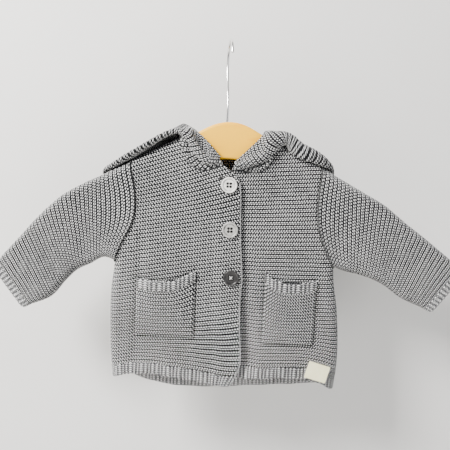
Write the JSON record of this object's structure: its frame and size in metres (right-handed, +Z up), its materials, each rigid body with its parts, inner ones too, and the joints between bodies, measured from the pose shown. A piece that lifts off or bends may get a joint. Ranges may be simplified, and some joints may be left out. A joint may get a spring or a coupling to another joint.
{
  "type": "baby cardigan on a hanger",
  "caption": "Hooded, buttoned baby cardigan in thick grey garter-stitch knit with ribbed hem, cuffs and patch pockets, hanging open at hem and cuffs on a small wooden hanger with a wire hook.",
  "frame": {"origin": "the inside top of the hook's bend, where a rail carries the hanger", "axes": "+X along the hanger to the viewer's right (the wearer's left), +Y from the fronts to the back, +Z up"},
  "size_m": [0.549, 0.0625, 0.4102],
  "materials": {
    "knit": "heather grey cotton knit, garter stitch",
    "rib_knit": "heather grey cotton knit, one by one rib",
    "label_tape": "cream woven tape, blank",
    "button_white": "soft gloss",
    "button_grey": "soft gloss",
    "button_dark": "gloss",
    "beech": "satin varnish",
    "steel_wire": "bright plated wire"
  },
  "bodies": {
    "root": {"back": "knit", "right_front": "knit", "left_front": "knit", "right_sleeve": "knit", "left_sleeve": "knit", "right_hood": "knit", "left_hood": "knit", "right_pocket": "knit", "left_pocket": "knit", "back_hem_rib": "rib_knit", "right_front_hem_rib": "rib_knit", "left_front_hem_rib": "rib_knit", "right_cuff_rib": "rib_knit", "left_cuff_rib": "rib_knit", "right_pocket_rib": "rib_knit", "left_pocket_rib": "rib_knit", "hem_label": "label_tape", "button_top": "button_white", "button_middle": "button_grey", "button_bottom": "button_dark", "hanger_board": "beech", "hanger_hook": "steel_wire"}
  },
  "joints": []
}
